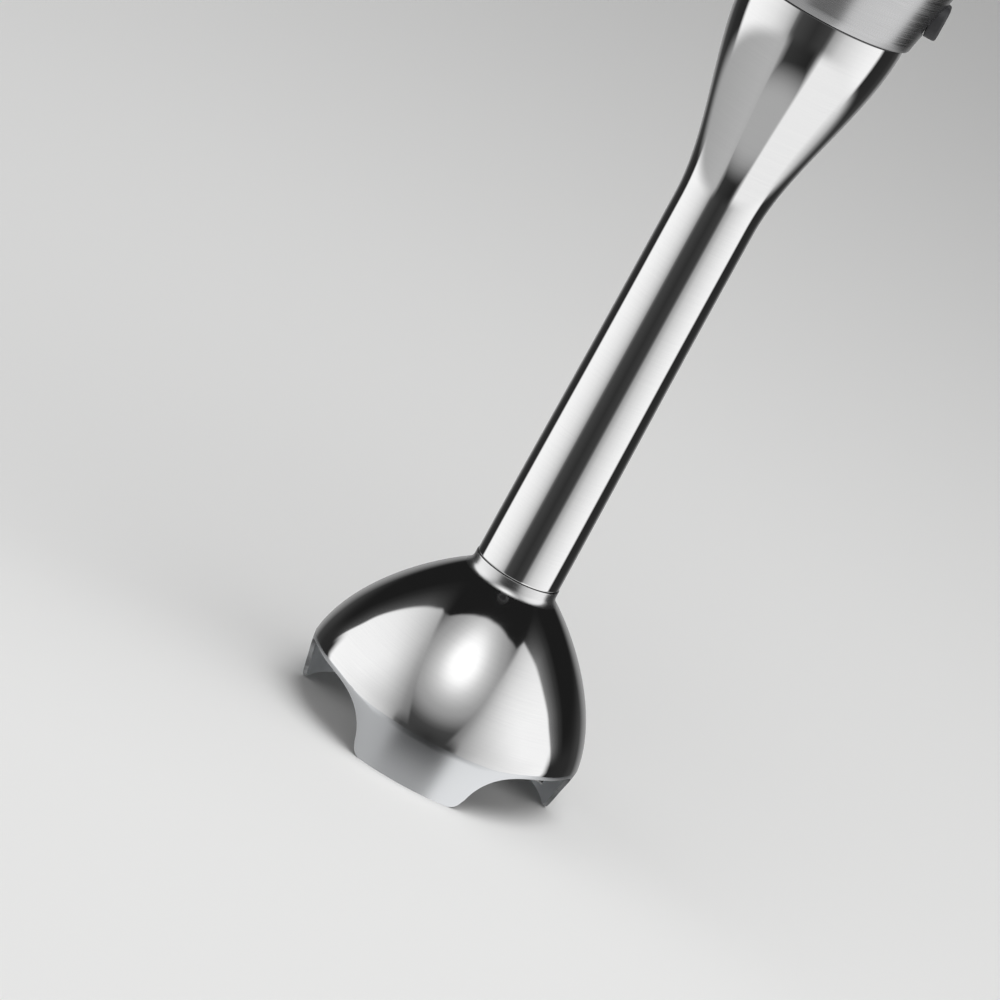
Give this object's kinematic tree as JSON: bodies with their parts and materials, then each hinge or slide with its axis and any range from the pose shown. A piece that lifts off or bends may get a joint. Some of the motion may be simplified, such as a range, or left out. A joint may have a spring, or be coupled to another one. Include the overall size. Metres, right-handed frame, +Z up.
{
  "type": "immersion blender",
  "caption": "Hand-held immersion blender: polished steel mixing foot with a domed, tabbed bell and a blade, on a lift-off motor unit with push buttons and a speed dial.",
  "frame": {"origin": "on the shaft axis, in the plane the three bell tabs stand on", "axes": "+Z up along the shaft to the motor unit, -Y the front with one tab and the buttons, +X to the right seen from the front"},
  "size_m": [0.072, 0.072, 0.4],
  "materials": {
    "foot_tube": "mirror-polished stainless steel",
    "bell": "mirror-polished stainless steel, satin skirt",
    "bearing_hub": "turned",
    "lower_bush": "sintered bronze",
    "shaft_seal": "moulded",
    "seal_cover": "polished",
    "upper_bearing_holder": "moulded",
    "upper_bush": "sintered bronze",
    "foot_collar": "moulded black",
    "collar_o_ring": "smooth",
    "drive_shaft": "ground",
    "blade": "satin",
    "blade_nut": "satin",
    "driven_coupling": "moulded black",
    "shaft_clip": "spring steel",
    "lower_sleeve": "satin brushed",
    "front_shell": "black, semi-gloss",
    "rear_shell": "black, semi-gloss",
    "rear_grip": "soft-touch with ribs",
    "top_cap": "dark grey",
    "button_panel": "dark grey",
    "button_membrane": "silicone sheet",
    "socket_frame": "moulded",
    "latch_ring": "spring steel",
    "motor_seal": "moulded",
    "lower_end_frame": "moulded",
    "upper_end_frame": "moulded",
    "lower_ball_bearing": "ground",
    "upper_ball_bearing": "ground",
    "stator_core": "stacked sheet steel",
    "field_coil_front": "enamelled copper wire",
    "field_coil_rear": "enamelled copper wire",
    "lower_motor_mount": "moulded",
    "upper_motor_mount": "moulded",
    "brush_holder_left": "pressed",
    "brush_holder_right": "pressed",
    "carbon_brush_left": "pressed carbon",
    "carbon_brush_right": "pressed carbon",
    "control_board": "coated board",
    "on_switch": "moulded",
    "turbo_switch": "moulded",
    "capacitor": "boxed film capacitor",
    "potentiometer": "moulded",
    "cord_grommet": "moulded",
    "frame_screw_front": "plated",
    "frame_screw_rear": "plated",
    "motor_shaft": "ground",
    "armature_core": "stacked sheet steel",
    "armature_winding": "enamelled copper wire",
    "commutator": "copper segments",
    "cooling_fan": "moulded",
    "drive_coupling": "moulded black",
    "on_button": "soft grey",
    "turbo_button": "soft grey",
    "release_button_left": "black",
    "release_button_right": "black",
    "speed_dial": "black with a ribbed edge"
  },
  "bodies": {
    "mixing_foot": {"foot_tube": "foot_tube", "bell": "bell", "bearing_hub": "bearing_hub", "lower_bush": "lower_bush", "shaft_seal": "shaft_seal", "seal_cover": "seal_cover", "upper_bearing_holder": "upper_bearing_holder", "upper_bush": "upper_bush", "foot_collar": "foot_collar", "collar_o_ring": "collar_o_ring"},
    "blade_shaft": {"drive_shaft": "drive_shaft", "blade": "blade", "blade_nut": "blade_nut", "driven_coupling": "driven_coupling", "shaft_clip": "shaft_clip"},
    "motor_unit": {"lower_sleeve": "lower_sleeve", "front_shell": "front_shell", "rear_shell": "rear_shell", "rear_grip": "rear_grip", "top_cap": "top_cap", "button_panel": "button_panel", "button_membrane": "button_membrane", "socket_frame": "socket_frame", "latch_ring": "latch_ring", "motor_seal": "motor_seal", "lower_end_frame": "lower_end_frame", "upper_end_frame": "upper_end_frame", "lower_ball_bearing": "lower_ball_bearing", "upper_ball_bearing": "upper_ball_bearing", "stator_core": "stator_core", "field_coil_front": "field_coil_front", "field_coil_rear": "field_coil_rear", "lower_motor_mount": "lower_motor_mount", "upper_motor_mount": "upper_motor_mount", "brush_holder_left": "brush_holder_left", "brush_holder_right": "brush_holder_right", "carbon_brush_left": "carbon_brush_left", "carbon_brush_right": "carbon_brush_right", "control_board": "control_board", "on_switch": "on_switch", "turbo_switch": "turbo_switch", "capacitor": "capacitor", "potentiometer": "potentiometer", "cord_grommet": "cord_grommet", "frame_screw_front": "frame_screw_front", "frame_screw_rear": "frame_screw_rear"},
    "rotor": {"motor_shaft": "motor_shaft", "armature_core": "armature_core", "armature_winding": "armature_winding", "commutator": "commutator", "cooling_fan": "cooling_fan", "drive_coupling": "drive_coupling"},
    "on_button": {"on_button": "on_button"},
    "turbo_button": {"turbo_button": "turbo_button"},
    "release_button_left": {"release_button_left": "release_button_left"},
    "release_button_right": {"release_button_right": "release_button_right"},
    "speed_dial": {"speed_dial": "speed_dial"}
  },
  "joints": [
    {"name": "motor_unit_lift", "type": "slide", "parent": "mixing_foot", "child": "motor_unit", "axis": [0, 0, 1], "range_m": [0, 0.05], "deforming": ["latch_ring"]},
    {"name": "rotor_spin", "type": "hinge", "parent": "motor_unit", "child": "rotor", "pos_m": [0, 0, 0.22], "axis": [0, 0, 1], "continuous": true},
    {"name": "blade_spin", "type": "hinge", "parent": "mixing_foot", "child": "blade_shaft", "pos_m": [0, 0, 0.009], "axis": [0, 0, 1], "continuous": true},
    {"name": "on_press", "type": "slide", "parent": "motor_unit", "child": "on_button", "axis": [0, 1, 0], "range_m": [0, 0.0025], "stiffness_N_per_m": 600, "springref_m": -0.002, "deforming": ["button_membrane"]},
    {"name": "turbo_press", "type": "slide", "parent": "motor_unit", "child": "turbo_button", "axis": [0, 1, 0], "range_m": [0, 0.0025], "stiffness_N_per_m": 600, "springref_m": -0.002, "deforming": ["button_membrane"]},
    {"name": "release_left_press", "type": "slide", "parent": "motor_unit", "child": "release_button_left", "axis": [1, 0, 0], "range_m": [0, 0.0018], "stiffness_N_per_m": 1500, "springref_m": -0.002, "deforming": ["latch_ring"]},
    {"name": "release_right_press", "type": "slide", "parent": "motor_unit", "child": "release_button_right", "axis": [-1, 0, 0], "range_m": [0, 0.0018], "stiffness_N_per_m": 1500, "springref_m": -0.002, "deforming": ["latch_ring"]},
    {"name": "dial_turn", "type": "hinge", "parent": "motor_unit", "child": "speed_dial", "pos_m": [0, 0, 0.3913], "axis": [0, 0, -1], "range_deg": [0, 270]}
  ],
  "couplings": [
    {"joint": "blade_spin", "follows": "rotor_spin", "ratio": 1}
  ]
}
